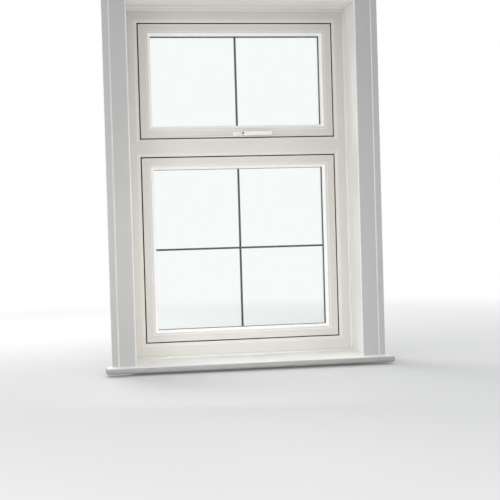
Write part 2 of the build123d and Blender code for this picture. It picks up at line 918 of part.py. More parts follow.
def half_tooth_angle(radius):
    """Half of the angle that a pinion tooth takes up at one radius."""
    base_radius = pitch_radius * cos(pressure_angle)
    at_pitch = pi / (2 * gear_teeth) - gear_backlash / (2 * pitch_radius)
    pressure_here = acos(min(1, base_radius / radius))
    return at_pitch + involute(pressure_angle) - involute(pressure_here)


tooth_radii = [
    pitch_radius - gear_dedendum,
    pitch_radius * cos(pressure_angle),
    pitch_radius - gear_addendum / 4,
    pitch_radius + gear_addendum / 3,
    pitch_radius + gear_addendum,
]
tooth_flank = [
    (r * sin(half_tooth_angle(r)), -r * cos(half_tooth_angle(r))) for r in tooth_radii
]
with BuildPart() as gearbox_pinion:
    with BuildSketch(at_depth(rack_near)):
        with Locations((handle_offset, spindle_height)):
            Circle(pitch_radius - gear_dedendum)
            with PolarLocations(0, gear_teeth):
                Polygon(*tooth_flank, *[(-x, z) for x, z in reversed(tooth_flank)], align=None)
            Rectangle(spindle_size, spindle_size, mode=Mode.SUBTRACT)
    extrude(amount=-gear_thickness)
gearbox_pinion.part.label = "gearbox_pinion"

with BuildPart() as gearbox_case:
    add(block(case_left, case_right, case_near, case_far, rail_bottom + case_low, rail_bottom + case_high))
    with BuildSketch(at_depth(case_near + case_wall)):
        with Locations((handle_offset, spindle_height)):
            Circle(pitch_radius + gear_addendum + gear_tip_room)
        channel_high = rack_pitch_height + gear_addendum + gear_tip_room
        channel_low = rail_bottom + case_low
        with Locations((handle_offset, (channel_low + channel_high) / 2)):
            Rectangle(2 * (case_half_length - case_wall), channel_high - channel_low)
    extrude(amount=-(case_thickness - 2 * case_wall), mode=Mode.SUBTRACT)
    add(
        upright_disc(handle_offset, spindle_height, spindle_hole_radius, case_near, case_far),
        mode=Mode.SUBTRACT,
    )
gearbox_case.part.label = "gearbox_case"

keep_wall_top = sash_edge - cam_reach - keep_clearance
with BuildPart() as lock_keeps:
    for place in (-cam_place, cam_place):
        left = place - keep_length / 2
        low = rail_bottom + rebate
        near = groove_middle - groove_width / 2
        far = groove_middle + groove_width / 2 + keep_wall
        add(block(left, left + keep_length, near, far, low, low + keep_plate))
        wall_right = place + cam_head_radius + keep_wall_overlap
        add(block(left, wall_right, far - keep_wall, far, low, rail_bottom + keep_wall_top))
    add(frame_screws.part, mode=Mode.SUBTRACT)
lock_keeps.part.label = "lock_keeps"

# Handle: base, spindle, lever and lock button
base_front = sash_set_back - handle_base_thickness
with BuildPart() as handle_base:
    with BuildSketch(at_depth(sash_set_back)):
        with Locations((handle_offset, spindle_height)):
            SlotOverall(handle_base_length, handle_base_width)
    extrude(amount=handle_base_thickness)
    fillet(handle_base.edges().group_by(Axis.Y)[0], handle_base_radius)
    add(
        upright_disc(handle_offset, spindle_height, spindle_hole_radius, base_front, sash_set_back),
        mode=Mode.SUBTRACT,
    )
    for side in (-1, 1):
        across = handle_offset + side * handle_screw_spacing / 2
        seat = sash_set_back - handle_base_thickness / 2
        add(upright_disc(across, spindle_height, screw_head_radius, base_front, seat), mode=Mode.SUBTRACT)
    add(handle_screws.part, mode=Mode.SUBTRACT)
handle_base.part.label = "handle_base"

boss_back = base_front - lever_clearance
grip_front = sash_set_back - lever_standoff
grip_back = grip_front + lever_grip_thickness
lever_half_width = max(lever_boss_radius, lever_grip_width / 2)
lock_hole_depth = lock_length - lock_stand_out + lock_travel + lock_spring_room
spindle_inner_end = grip_front + lock_hole_depth + spindle_stop
with BuildPart() as handle_spindle:
    half = spindle_size / 2
    add(block(
        handle_offset - half, handle_offset + half, spindle_inner_end, case_far,
        spindle_height - half, spindle_height + half,
    ))
handle_spindle.part.label = "handle_spindle"

with BuildPart() as handle_lever:
    tip = handle_offset + lever_length
    with BuildSketch(at_depth(boss_back)):
        with BuildLine():
            CenterArc((handle_offset, spindle_height), lever_boss_radius, 0, 360)
            for side in (-1, 1):
                corner_height = spindle_height + side * (lever_grip_width / 2 - lever_tip_radius)
                CenterArc((tip - lever_tip_radius, corner_height), lever_tip_radius, 0, 360)
        make_hull()
    extrude(amount=boss_back - grip_front)
    with BuildSketch(Plane.XY.offset(spindle_height - lever_half_width)) as under_grip:
        neck = handle_offset + lever_boss_radius
        underside = room_face + grip_back
        with BuildLine():
            Polyline((neck, room_face), (neck, underside), (tip, underside), (tip, room_face), close=True)
        make_face()
        fillet(under_grip.vertices().sort_by_distance((neck, underside))[0], lever_neck_radius)
    extrude(amount=2 * lever_half_width, mode=Mode.SUBTRACT)
    fillet(handle_lever.edges().group_by(Axis.Y)[0], lever_edge_radius)
    grip_underside = handle_lever.faces().filter_by(Axis.Y).filter_by_position(
        Axis.Y, underside - lever_clearance, underside + lever_clearance
    )
    fillet(grip_underside[0].edges().group_by(Axis.X)[1:], lever_underside_radius)
    lock_hole_end = grip_front + lock_hole_depth
    lock_hole = upright_disc(handle_offset, spindle_height, lock_radius + lock_fit, grip_front, lock_hole_end)
    add(lock_hole, mode=Mode.SUBTRACT)
    add(handle_spindle.part, mode=Mode.SUBTRACT)
handle_lever.part.label = "handle_lever"

lock_front = grip_front - lock_stand_out
with BuildPart() as lock_button:
    add(upright_disc(handle_offset, spindle_height, lock_radius, lock_front, lock_front + lock_length))
    with BuildSketch(at_depth(lock_front)):
        with Locations((handle_offset, spindle_height)):
            Rectangle(key_slot_width, key_slot_length)
    extrude(amount=-key_slot_depth, mode=Mode.SUBTRACT)
lock_button.part.label = "lock_button"

# Window board, with a rounded nose and horns past the architraves
board_half = architrave_edge + architrave_width + board_horn
board_nose = wall_face - board_projection
lining_back = lining_face + lining_thickness
with BuildPart() as window_board:
    with BuildSketch(Plane.XY.offset(board_top)) as board_plan:
        with BuildLine():
            Polyline(
                (-lining_back, room_face), (lining_back, room_face), (lining_back, wall_face),
                (board_half, wall_face), (board_half, board_nose), (-board_half, board_nose),
                (-board_half, wall_face), (-lining_back, wall_face),
                close=True,
            )
        make_face()
        fillet(board_plan.vertices().group_by(Axis.Y)[0], board_corner_radius)
    extrude(amount=-board_thickness)
    rim = window_board.faces().sort_by(Axis.Z)[0].edges() + window_board.faces().sort_by(Axis.Z)[-1].edges()
    fillet(rim.filter_by_position(Axis.Y, board_nose - 1, wall_face - 1), board_nose_radius)
window_board.part.label = "window_board"

# Linings of the reveal; the head lining lies on the two side ones
with BuildPart() as right_lining:
    add(block(lining_face, lining_back, -reveal_depth, 0, board_top, soffit))
right_lining.part.label = "right_lining"

with BuildPart() as left_lining:
    mirror(right_lining.part, about=Plane.YZ)
left_lining.part.label = "left_lining"

with BuildPart() as head_lining:
    add(block(-lining_back, lining_back, -reveal_depth, 0, soffit, soffit + lining_thickness))
head_lining.part.label = "head_lining"

# Quarter-round trims where the frame meets the linings and the board
with BuildSketch() as trim_section:
    with BuildLine():
        Line((0, -trim_size), (0, 0))
        Line((0, 0), (trim_size, 0))
        CenterArc((0, 0), trim_size, -90, 90)
    make_face()
trims = []
for side in ("left", "right", "top", "bottom"):
    with BuildPart() as trim:
        add(side_run(trim_section.sketch, reveal, side, 2 * trim_size))
    trim.part.label = {"top": "head", "bottom": "board"}.get(side, side) + "_trim"
    trims.append(trim)

# Architraves: rounded inner edge, flat face, a small bead and a falling outer margin. A shallow
# relief in the back bridges the joint between the lining and the wall.
bead_far = architrave_bead_place + architrave_bead_radius
lining_end = architrave_overhang + lining_thickness
relief_near = architrave_overhang + lining_thickness / 2
relief_far = lining_end + architrave_relief_past_lining
with BuildSketch() as architrave_section:
    with BuildLine():
        Polyline(
            (0, 0), (0, architrave_thickness), (bead_far, architrave_thickness),
            (bead_far, architrave_thickness - architrave_outer_step),
            (architrave_width, architrave_thickness - architrave_outer_step - architrave_outer_drop),
            (architrave_width, 0),
            close=True,
        )
    make_face()
    inner_corner = (0, architrave_thickness)
    fillet(architrave_section.vertices().sort_by_distance(inner_corner)[0], architrave_edge_radius)
    outer_corner = (architrave_width, architrave_thickness)
    fillet(architrave_section.vertices().sort_by_distance(outer_corner)[0], architrave_outer_radius)
    with Locations((architrave_bead_place, architrave_thickness - architrave_bead_sink)):
        Circle(architrave_bead_radius)
    with Locations(((relief_near + relief_far) / 2, 0)):
        Rectangle(relief_far - relief_near, 2 * architrave_relief_depth, mode=Mode.SUBTRACT)
with BuildPart() as surround:
    with BuildLine() as surround_route:
        Polyline(
            (-architrave_edge, wall_face, architrave_foot),
            (-architrave_edge, wall_face, architrave_underside),
            (architrave_edge, wall_face, architrave_underside),
            (architrave_edge, wall_face, architrave_foot),
        )
    foot = Plane(origin=(-architrave_edge, wall_face, architrave_foot), x_dir=(-1, 0, 0), z_dir=(0, 0, 1))
    with BuildSketch(foot):
        add(architrave_section.sketch)
    sweep(path=surround_route.wires()[0], transition=Transition.RIGHT)

architrave_top = architrave_underside + architrave_width
architrave_outer = architrave_edge + architrave_width
mitred_head = [
    (-architrave_edge, architrave_underside), (architrave_edge, architrave_underside),
    (architrave_outer, architrave_top), (-architrave_outer, architrave_top),
]
mitred_side = [
    (architrave_edge, architrave_foot), (architrave_outer, architrave_foot),
    (architrave_outer, architrave_top), (architrave_edge, architrave_underside),
]
architraves = []
for name, outline in (("head", mitred_head), ("right", mitred_side)):
    with BuildPart() as architrave:
        with BuildSketch(at_depth(-reveal_depth - 2 * architrave_thickness)):
            with BuildLine():
                Polyline(*outline, close=True)
            make_face()
        extrude(amount=-3 * architrave_thickness)
        add(surround.part, mode=Mode.INTERSECT)
    architrave.part.label = name + "_architrave"
    architraves.append(architrave)

with BuildPart() as left_architrave:
    mirror(architraves[1].part, about=Plane.YZ)
left_architrave.part.label = "left_architrave"

subparts = [
    outer_frame, outer_cill, cill_end_caps, fixed_sash, fanlight_sash, fixed_sash_blocks,
    lower_frame_gasket, upper_frame_gasket, fixed_sash_gasket, fanlight_gasket, *glazing,
    right_stay_track, left_stay_track, right_stay_link, left_stay_link, right_stay_arm, left_stay_arm,
    stay_shoes, frame_screws, sash_screws, handle_screws,
    espag_faceplate, espag_rod, gearbox_pinion, gearbox_case, lock_keeps,
    handle_base, handle_spindle, handle_lever, lock_button,
    window_board, left_lining, right_lining, head_lining, *trims, *architraves, left_architrave,
]
os.makedirs("parts", exist_ok=True)
for made in subparts:
    export_step(made.part, "parts/" + made.part.label + ".step")
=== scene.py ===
import bpy
from math import cos, radians, sin
from mathutils import Matrix, Vector


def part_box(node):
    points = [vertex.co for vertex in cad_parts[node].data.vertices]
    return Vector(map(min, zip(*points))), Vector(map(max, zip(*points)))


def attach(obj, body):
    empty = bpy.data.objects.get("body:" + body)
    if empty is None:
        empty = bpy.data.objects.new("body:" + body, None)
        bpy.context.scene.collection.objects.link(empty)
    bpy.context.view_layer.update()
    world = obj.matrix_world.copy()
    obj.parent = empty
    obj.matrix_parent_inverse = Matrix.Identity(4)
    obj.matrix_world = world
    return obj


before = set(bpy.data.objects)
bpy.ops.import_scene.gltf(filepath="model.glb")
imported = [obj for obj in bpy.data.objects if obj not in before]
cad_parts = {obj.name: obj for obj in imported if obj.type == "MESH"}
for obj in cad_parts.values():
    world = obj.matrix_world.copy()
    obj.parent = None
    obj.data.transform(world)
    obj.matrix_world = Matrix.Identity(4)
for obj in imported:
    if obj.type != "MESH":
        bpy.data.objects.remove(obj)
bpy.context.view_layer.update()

scene = bpy.context.scene
scene.view_settings.view_transform = "Standard"

# Places taken from the CAD nodes, in metres
frame_low, frame_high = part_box("outer_frame")
sash_low, sash_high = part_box("fanlight_sash")
lower_low, lower_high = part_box("fixed_sash")
base_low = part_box("handle_base")[0]
screw_low, screw_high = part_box("handle_screws")

# Colours, as linear red, green and blue, and how many times lighter the painted highlights on the
# casings' mouldings and the painted light on the board's top are
WHITE_PLASTIC = (0.63, 0.612, 0.57)
# The casings' white paint darkened: painted shade on their flat faces
CASING_PAINT_SHADED = (0.425, 0.427, 0.422)
LINING_PAINT = (0.90, 0.88, 0.855)
# The board's white paint darkened: painted shade on its nose, edges and underside
BOARD_PAINT_SHADED = (0.33, 0.33, 0.323)
PRIMER = (0.52, 0.50, 0.46)
FLOOR_GREY = (0.7, 0.7, 0.695)
CASING_RIM_HIGHLIGHT = 2.0
BOARD_TOP_LIGHT = 2.94

# How square to an axis a face is, from 0 to 1, where a tone for its direction starts and is whole
SLOPE_WHOLE, SLOPE_START = 0.8, 0.99
WALL_START, WALL_WHOLE = 0.5, 0.9
TOP_START, TOP_WHOLE = 0.6, 0.98

# Marks in the finishes: places and widths in metres, strengths from 0 to 1. The gaps, where shade is
# painted, and the crack lie behind and before the frame's face, the rim inside its edge, and the
# crack opens and closes at places across the window, from its middle.
WELD_CORE, WELD_EDGE = 0.0002, 0.0007
WELD_DEPTH, WELD_STRENGTH = 0.0003, 0.35
GAP_NEAR, GAP_FAR, GAP_FADE = 0.0045, 0.0195, 0.001
RIM_INNER, RIM_OUTER = 0.02, 0.01
# Strength of the painted shade on the frame's walls in the gaps
GAP_SHADE = 0.9
LINING_CRACK = 0.072
CRACK_CORE, CRACK_EDGE, CRACK_DEPTH = 0.0015, 0.0035, 0.0006
CRACK_OPEN, CRACK_CLOSED = -0.3, 0.45
CRACK_DARK, CRACK_FAINT = 0.85, 0.25

# Eased edges: radius for each piece whose name holds the words
EASED = {
    "outer_frame": 0.0006,
    "fixed_sash": 0.0006,
    "fanlight_sash": 0.0006,
    "_beads": 0.0005,
    "_lining": 0.001,
    "_architrave": 0.0008,
    "_trim": 0.0004,
    "window_board": 0.0006,
    "outer_cill": 0.0006,
}
SEAM_DISTANCE = 1e-5
SHARP_ANGLE = radians(32)

# Domed caps over the handle's screws
SCREW_HEAD_RADIUS = 0.0036
CAP_RADIUS, CAP_HEIGHT, CAP_SKIRT = 0.0035, 0.0009, 0.0022
CAP_SIDES, CAP_RINGS = 32, 5

# Studio
FLOOR_SIZE = 120
FADE_START, FADE_END, FADE_LEAST = 0.6, 4.0, 0.1
ROOM_LIGHT, ROOM_STRENGTH = (0.93, 0.95, 0.97, 1), 0.6
SEEN_WHITE, SEEN_STRENGTH = (1, 1, 1, 1), 1.0

# Camera, fitted to the photograph's vanishing points
PICTURE_PIXELS = 500
FOCAL_PIXELS = 1025.81
PITCH, YAW, ROLL = 0.0188564, -0.1412786, -0.0284865
CAMERA_PLACE = Vector((-0.5825, -4.385, 0.5665))
SENSOR_WIDTH = 36
FARTHEST = 200


def shade(colour, factor):
    return tuple(min(1.0, c * factor) for c in colour)


def matching(name, table, otherwise=None):
    """The value of a table's first entry whose words are in a name."""
    return next((value for words, value in table.items() if words in name), otherwise)


# Node trees
class Nodes:
    """A node tree, with short calls for the nodes that the finishes share."""

    def __init__(self, tree):
        self.tree = tree

    def new(self, kind, **values):
        node = self.tree.nodes.new("ShaderNode" + kind)
        for key, value in values.items():
            setattr(node, key, value)
        return node

    def link(self, source, target):
        self.tree.links.new(source, target)

    def fill(self, socket, value):
        """Links a node's output to a socket, or sets a number or a colour on it."""
        if isinstance(value, bpy.types.NodeSocket):
            self.link(value, socket)
        elif isinstance(value, tuple):
            socket.default_value = (*value, 1)
        else:
            socket.default_value = value

    def levels(self, value, low, high, out_low, out_high):
        """A value from low to high, turned into one from out_low to out_high and held there."""
        node = self.new("MapRange")
        limits = {"From Min": low, "From Max": high, "To Min": out_low, "To Max": out_high}
        for key, number in limits.items():
            node.inputs[key].default_value = number
        self.link(value, node.inputs["Value"])
        return node.outputs["Result"]

    def math(self, operation, first, second=None):
        node = self.new("Math", operation=operation)
        self.fill(node.inputs[0], first)
        if second is not None:
            self.fill(node.inputs[1], second)
        return node.outputs["Value"]

    def axes(self, vector):
        """The X, Y and Z of a vector."""
        node = self.new("SeparateXYZ")
        self.link(vector, node.inputs["Vector"])
        return node.outputs

    def seen(self):
        """1 for what the camera sees, also through glass or mirrored, 0 for what only lights."""
        path = self.new("LightPath").outputs
        direct = self.math("MAXIMUM", path["Is Camera Ray"], path["Is Transmission Ray"])
        return self.math("MAXIMUM", direct, path["Is Glossy Ray"])

    def blend(self, factor, first, second, output):
        """Two shaders mixed by a factor, as the tree's surface."""
        node = self.new("MixShader")
        for key, source in enumerate((factor, first, second)):
            self.link(source, node.inputs[key])
        self.link(node.outputs["Shader"], self.tree.nodes[output].inputs["Surface"])


class Finish(Nodes):
    """A new material, which knows each point's place and direction on its own piece."""

    def __init__(self, name):
        self.material = bpy.data.materials.new(name)
        self.material.use_nodes = True
        super().__init__(self.material.node_tree)
        self.shader = self.tree.nodes["Principled BSDF"]
        coordinates = self.new("TexCoord")
        self.place = coordinates.outputs["Object"]
        self.facing = coordinates.outputs["Normal"]

    def noise(self, scale, detail=4.0, roughness=0.55, stretch=(1, 1, 1)):
        mapping = self.new("Mapping")
        mapping.inputs["Scale"].default_value = stretch
        self.link(self.place, mapping.inputs["Vector"])
        node = self.new("TexNoise")
        node.inputs["Scale"].default_value = scale
        node.inputs["Detail"].default_value = detail
        node.inputs["Roughness"].default_value = roughness
        self.link(mapping.outputs["Vector"], node.inputs["Vector"])
        return node.outputs["Fac"]

    def ramp(self, value, stops):
        """A colour ramp: stops are (place, colour) pairs, with colours of three numbers."""
        node = self.new("ValToRGB")
        elements = node.color_ramp.elements
        while len(elements) < len(stops):
            elements.new(0.5)
        for element, (place, colour) in zip(elements, stops):
            element.position = place
            element.color = (*colour, 1)
        self.link(value, node.inputs["Fac"])
        return node.outputs["Color"]

    def mix(self, factor, first, second):
        """The first colour, turned into the second as the factor goes from 0 to 1."""
        node = self.new("Mix", data_type="RGBA")
        for key, value in ((0, factor), (6, first), (7, second)):
            self.fill(node.inputs[key], value)
        return node.outputs[2]

    def bump(self, heights):
        """Bump from (height, distance in metres) pairs, one on top of the other."""
        last = None
        for height, distance in heights:
            node = self.new("Bump")
            node.inputs["Strength"].default_value = 1.0
            node.inputs["Distance"].default_value = distance
            self.link(height, node.inputs["Height"])
            if last is not None:
                self.link(last, node.inputs["Normal"])
            last = node.outputs["Normal"]
        self.link(last, self.shader.inputs["Normal"])

    def set(self, **values):
        """Fills the shader's own sockets, named with _ for a space."""
        for key, value in values.items():
            self.fill(self.shader.inputs[key.replace("_", " ")], value)


# Masks: 1 where a mark is, 0 elsewhere
def weld_lines(n, lights):
    """Thin grooves along the mitres of welded corners; lights are (half width, low, high)."""
    place = n.axes(n.place)
    across = n.math("ABSOLUTE", place["X"])
    result = None
    for half, low, high in lights:
        up = n.math("ABSOLUTE", n.math("SUBTRACT", place["Z"], (low + high) / 2))
        beside = n.math("SUBTRACT", across, half)
        above = n.math("SUBTRACT", up, (high - low) / 2)
        offset = n.math("ABSOLUTE", n.math("SUBTRACT", beside, above))
        line = n.levels(offset, WELD_CORE, WELD_EDGE, 1, 0)
        result = line if result is None else n.math("MAXIMUM", result, line)
    return result


def turned_away(n):
    """Slopes, edges and reveals, and not the faces square to the room or the garden when shut."""
    return n.levels(n.math("ABSOLUTE", n.axes(n.facing)["Y"]), SLOPE_WHOLE, SLOPE_START, 1, 0)


def wall_side(n, axis):
    """Faces that look away from the window's middle along an axis, as at the wall."""
    facing, place = n.axes(n.facing), n.axes(n.place)
    outwards = n.math("MULTIPLY", facing[axis], n.math("SIGN", place[axis]))
    return n.levels(outwards, WALL_START, WALL_WHOLE, 0, 1)


def in_gap(n):
    """The frame's walls beside the sashes, from behind its face to the gasket."""
    place = n.axes(n.place)
    front, back = frame_low.y + GAP_NEAR, frame_low.y + GAP_FAR
    near = n.levels(place["Y"], front, front + GAP_FADE, 0, 1)
    far = n.levels(place["Y"], back, back + GAP_FADE, 1, 0)
    across = n.math("ABSOLUTE", place["X"])
    up = n.math("ABSOLUTE", n.math("SUBTRACT", place["Z"], (frame_low.z + frame_high.z) / 2))
    half_height = (frame_high.z - frame_low.z) / 2
    inside = n.math(
        "MULTIPLY",
        n.levels(across, frame_high.x - RIM_INNER, frame_high.x - RIM_OUTER, 1, 0),
        n.levels(up, half_height - RIM_INNER, half_height - RIM_OUTER, 1, 0),
    )
    band = n.math("MULTIPLY", near, far)
    return n.math("MULTIPLY", band, n.math("MULTIPLY", inside, turned_away(n)))


def paint_crack(n, depth):
    """A fine crack at a depth along Y, which closes towards +X."""
    place = n.axes(n.place)
    offset = n.math("ABSOLUTE", n.math("SUBTRACT", place["Y"], depth))
    line = n.levels(offset, CRACK_CORE, CRACK_EDGE, 1, 0)
    return n.math("MULTIPLY", line, n.levels(place["X"], CRACK_OPEN, CRACK_CLOSED, CRACK_DARK, CRACK_FAINT))


# Finishes
def upvc(name, colour, lights=(), slopes=1.5, gap_shade=0.0):
    """Extruded white window plastic: glossy, faintly mottled, with weld lines and a little dust.

    slopes paints a highlight on the slopes and reveals round the glass, where the daylight catches
    them. gap_shade paints shade on the walls of the frame beside the sashes.
    """
    n = Finish(name)
    tone = n.ramp(n.noise(3.5, detail=3), ((0.3, shade(colour, 0.985)), (0.7, shade(colour, 1.01))))
    grey = sum(colour) / len(colour)
    # Painted highlight: the slopes and reveals round the glass are lightened towards white
    away = n.math("MULTIPLY", turned_away(n), n.math("SUBTRACT", 1.0, wall_side(n, "X")))
    tone = n.mix(away, tone, shade((grey, grey, grey), slopes))
    dust = n.levels(n.noise(55, detail=6, roughness=0.7), 0.6, 0.78, 0, 0.06)
    tone = n.mix(dust, tone, shade(colour, 0.85))
    heights = [(n.noise(9, detail=1), 0.0001), (n.noise(900, detail=2), 0.00001)]
    if lights:
        line = weld_lines(n, lights)
        tone = n.mix(n.math("MULTIPLY", line, WELD_STRENGTH), tone, shade(colour, 0.55))
        heights.append((n.math("SUBTRACT", 1.0, line), WELD_DEPTH))
    # Painted shade: the frame's walls in the gaps beside the sashes are darkened
    if gap_shade:
        tone = n.mix(n.math("MULTIPLY", in_gap(n), gap_shade), tone, shade(colour, 0.2))
    n.set(Base_Color=tone, Roughness=n.levels(n.noise(12), 0.3, 0.7, 0.3, 0.4), IOR=1.5)
    n.bump(heights)
    return n.material


def painted_wood(name, colour, along, rim=1.0, crack=None, top=1.0, primed=None):
    """Brushed satin paint over timber, with long shallow brush marks and a few darker scuffs.

    along is the grain's axis. rim paints a highlight on the mouldings and edges, and top paints light
    on what faces up. crack is the place along Y of a crack in the paint. primed is the axis of the
    face against the wall, which has only a thin coat of primer.
    """
    n = Finish(name)
    stretch = tuple(0.02 if axis == along else 1 for axis in "XYZ")
    tone = n.ramp(n.noise(2.2, detail=3), ((0.28, shade(colour, 0.97)), (0.72, shade(colour, 1.02))))
    # Painted highlight: edges and mouldings turned from the room are lightened by rim
    tone = n.mix(turned_away(n), tone, shade(colour, rim))
    # Painted light: faces that look up are lightened by top
    if top != 1.0:
        upwards = n.levels(n.axes(n.facing)["Z"], TOP_START, TOP_WHOLE, 0, 1)
        tone = n.mix(upwards, tone, shade(colour, top))
    brush = n.noise(420, detail=3, stretch=stretch)
    tone = n.mix(n.levels(brush, 0.35, 0.65, 0, 0.12), tone, shade(colour, 0.9))
    scuff = n.levels(n.noise(40, detail=8, roughness=0.75), 0.62, 0.78, 0, 0.18)
    tone = n.mix(scuff, tone, shade(colour, 0.72))
    if primed is not None:
        coat = n.ramp(brush, ((0.3, shade(PRIMER, 0.9)), (0.7, PRIMER)))
        tone = n.mix(wall_side(n, primed), tone, coat)
    heights = [(brush, 0.00012), (n.noise(30, detail=2, stretch=stretch), 0.0004)]
    if crack is not None:
        line = paint_crack(n, crack)
        tone = n.mix(line, tone, shade(colour, 0.28))
        heights.append((n.math("SUBTRACT", 1.0, line), CRACK_DEPTH))
    n.set(Base_Color=tone, Roughness=n.levels(brush, 0.3, 0.7, 0.34, 0.48), IOR=1.48)
    n.bump(heights)
    return n.material


def rubber(name):
    """Black gasket rubber, dull and faintly grained."""
    n = Finish(name)
    stops = ((0.3, (0.010, 0.010, 0.011)), (0.75, (0.035, 0.035, 0.036)))
    tone = n.ramp(n.noise(160, detail=5), stops)
    n.set(Base_Color=tone, Roughness=n.levels(n.noise(90), 0.3, 0.7, 0.55, 0.75))
    n.bump([(n.noise(1200, detail=2), 0.00004)])
    return n.material


def metal(name, dark, light, low=0.25, high=0.42, streak=(0.05, 1, 1)):
    """Brushed or cast metal with fine streaks and duller patches; low and high are its roughness."""
    n = Finish(name)
    lines = n.noise(900, detail=3, stretch=streak)
    tone = n.mix(n.levels(n.noise(25, detail=5), 0.35, 0.7, 0, 0.6), light, dark)
    n.set(Base_Color=tone, Metallic=1.0, Roughness=n.levels(lines, 0.3, 0.7, low, high))
    n.bump([(lines, 0.00002)])
    return n.material


def powder_coat(name, colour):
    """White powder coat with a fine orange peel."""
    n = Finish(name)
    tone = n.ramp(n.noise(30, detail=3), ((0.3, shade(colour, 0.96)), (0.7, shade(colour, 1.02))))
    rough = n.levels(n.noise(50), 0.3, 0.7, 0.2, 0.3)
    n.set(Base_Color=tone, Roughness=rough, Coat_Weight=0.25, Coat_Roughness=0.12)
    n.bump([(n.noise(700, detail=1), 0.00003), (n.noise(2500, detail=1), 0.00001)])
    return n.material


def satin(name, colour, rough):
    """A dark or grey moulded or painted finish with faint mottling."""
    n = Finish(name)
    tone = n.ramp(n.noise(70, detail=4), ((0.3, shade(colour, 0.85)), (0.7, shade(colour, 1.15))))
    n.set(Base_Color=tone, Roughness=n.levels(n.noise(45), 0.3, 0.7, rough - 0.06, rough + 0.08))
    n.bump([(n.noise(1500, detail=2), 0.00002)])
    return n.material


def clear_glass(name, tint):
    """Float glass with a faint tint and a trace of dust; it lets the lamps' light through."""
    n = Finish(name)
    dust = n.noise(26, detail=8, roughness=0.8)
    n.set(
        Base_Color=n.ramp(dust, ((0.3, tint), (0.8, shade(tint, 0.985)))),
        Roughness=n.levels(dust, 0.45, 0.8, 0.0, 0.03),
        Transmission_Weight=1.0,
        IOR=1.5,
    )
    passing = n.new("BsdfTransparent")
    n.fill(passing.inputs["Color"], shade(tint, 0.96))
    path = n.new("LightPath").outputs
    straight = n.math("MAXIMUM", path["Is Shadow Ray"], path["Is Diffuse Ray"])
    n.blend(straight, n.shader.outputs["BSDF"], passing.outputs["BSDF"], "Material Output")
    return n.material


frame_weld = (frame_high.x, frame_low.z, frame_high.z)
lower_weld = (lower_high.x, lower_low.z, lower_high.z)
upper_weld = (sash_high.x, sash_low.z, sash_high.z)
frame_plastic = upvc("frame_plastic", WHITE_PLASTIC, (frame_weld,), gap_shade=GAP_SHADE)
lower_plastic = upvc("lower_sash_plastic", WHITE_PLASTIC, (lower_weld,))
upper_plastic = upvc("upper_sash_plastic", WHITE_PLASTIC, (upper_weld,))
# A little lighter than the frame's plastic: painted highlight on the beads round the glass
bead_plastic = upvc("bead_plastic", shade(WHITE_PLASTIC, 1.05))
trim_plastic = upvc("trim_plastic", WHITE_PLASTIC, slopes=1.2)
# Darker than the frame's plastic: painted shade on the outer cill and its end caps
cill_plastic = upvc("cill_plastic", shade(WHITE_PLASTIC, 0.9), slopes=1.2)
casing_upright = painted_wood("casing_paint_upright", CASING_PAINT_SHADED, "Z", rim=CASING_RIM_HIGHLIGHT)
casing_level = painted_wood("casing_paint_level", CASING_PAINT_SHADED, "X", rim=CASING_RIM_HIGHLIGHT)
lining_upright = painted_wood("lining_paint_upright", LINING_PAINT, "Z", primed="X")
lining_level = painted_wood(
    "lining_paint_level", LINING_PAINT, "X", crack=frame_low.y - LINING_CRACK, primed="Z"
)
board_paint = painted_wood("board_paint", BOARD_PAINT_SHADED, "X", top=BOARD_TOP_LIGHT)
gasket = rubber("gasket_rubber")
steel = metal("steel", (0.36, 0.37, 0.38), (0.58, 0.59, 0.6))
zinc = metal("cast_zinc", (0.33, 0.34, 0.35), (0.5, 0.51, 0.52), 0.4, 0.55, (1, 1, 1))
handle_coat = powder_coat("handle_white", (0.80, 0.79, 0.765))
lock_metal = metal("lock_metal", (0.03, 0.03, 0.032), (0.07, 0.07, 0.075), 0.3, 0.4, (1, 1, 1))
spacer_finish = satin("spacer_dark", (0.022, 0.022, 0.024), 0.8)
bar_finish = satin("bar_dark", (0.02, 0.02, 0.022), 0.7)
packer_finish = satin("packer_grey", (0.12, 0.125, 0.13), 0.5)
glass = clear_glass("window_glass", (0.965, 0.985, 0.975))

# Finish for each piece whose name holds the words; every other piece is steel
FINISHES = {
    "outer_frame": frame_plastic,
    "outer_cill": cill_plastic,
    "cill_end_caps": cill_plastic,
    "_architrave": casing_upright,
    "_lining": lining_upright,
    "window_board": board_paint,
    "handle_base": handle_coat,
    "handle_lever": handle_coat,
    "lock_button": lock_metal,
    "stay_shoes": packer_finish,
    "_beads": bead_plastic,
    "_trim": trim_plastic,
    "gasket": gasket,
    "_pane": glass,
    "_spacer": spacer_finish,
    "_glazing_bars": bar_finish,
    "_packers": packer_finish,
    "gearbox": zinc,
    "lock_keeps": zinc,
}
NAMED_FINISHES = {
    "fixed_sash": lower_plastic,
    "fanlight_sash": upper_plastic,
    "fixed_sash_blocks": packer_finish,
    "head_architrave": casing_level,
    "head_lining": lining_level,
}
for name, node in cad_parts.items():
    node.data.materials.clear()
    node.data.materials.append(NAMED_FINISHES.get(name) or matching(name, FINISHES, steel))


# Edges: each mesh's seams are joined, then its sharp edges get a small rounding
for name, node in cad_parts.items():
    radius = matching(name, EASED)
    if radius is None:
        continue
    weld = node.modifiers.new("weld", "WELD")
    weld.merge_threshold = SEAM_DISTANCE
    ease = node.modifiers.new("ease", "BEVEL")
    ease.width = radius
    ease.segments = 2
    ease.limit_method = "ANGLE"
    ease.angle_limit = SHARP_ANGLE
    ease.harden_normals = True


def placed(name, points, faces, material):
    """A new object with a mesh of its own and one material."""
    mesh = bpy.data.meshes.new(name)
    mesh.from_pydata(points, [], faces)
    mesh.materials.append(material)
    made = bpy.data.objects.new(name, mesh)
    scene.collection.objects.link(made)
    return made


